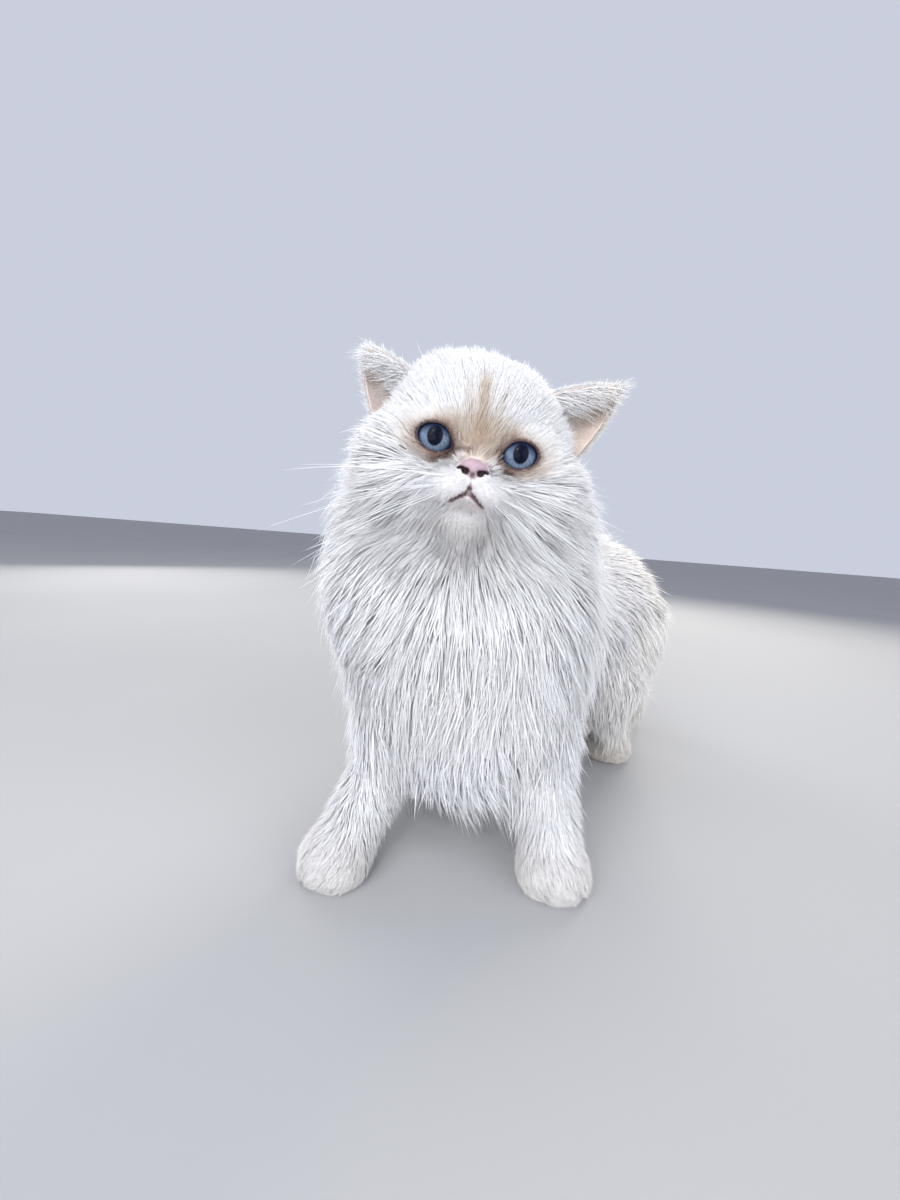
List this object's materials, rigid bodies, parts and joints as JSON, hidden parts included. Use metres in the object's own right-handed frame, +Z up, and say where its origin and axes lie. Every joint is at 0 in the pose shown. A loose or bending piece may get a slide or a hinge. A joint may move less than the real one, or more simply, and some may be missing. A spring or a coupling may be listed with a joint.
{
  "type": "persian cat",
  "caption": "Life-size still model of a long-haired white persian cat with blue eyes, standing on four paws with its head turned to the front.",
  "frame": {"origin": "centre of the bounding box on the floor plane that the paws stand on", "axes": "+Z up, the face looks along -Y, the cat's left side at +X; the trunk turns away to +X and +Y behind the chest"},
  "size_m": [0.3498, 0.3716, 0.3393],
  "materials": {
    "coat": "long soft white fur, cream towards the rear, lilac in the shade",
    "ear": "thin skin with short fur, pale orange inside",
    "eye": "wet glossy eye, pale steel blue iris, dark oval pupil"
  },
  "bodies": {
    "root": {"eye_right": "eye", "eye_left": "eye", "head": "coat", "torso": "coat", "neck": "coat", "ear_right": "ear", "ear_left": "ear", "foreleg_right": "coat", "forepaw_right": "coat", "foreleg_left": "coat", "forepaw_left": "coat", "hindleg_right": "coat", "hindpaw_right": "coat", "hindleg_left": "coat", "hindpaw_left": "coat", "tail_base": "coat", "tail_middle": "coat", "tail_tip": "coat"}
  },
  "joints": []
}
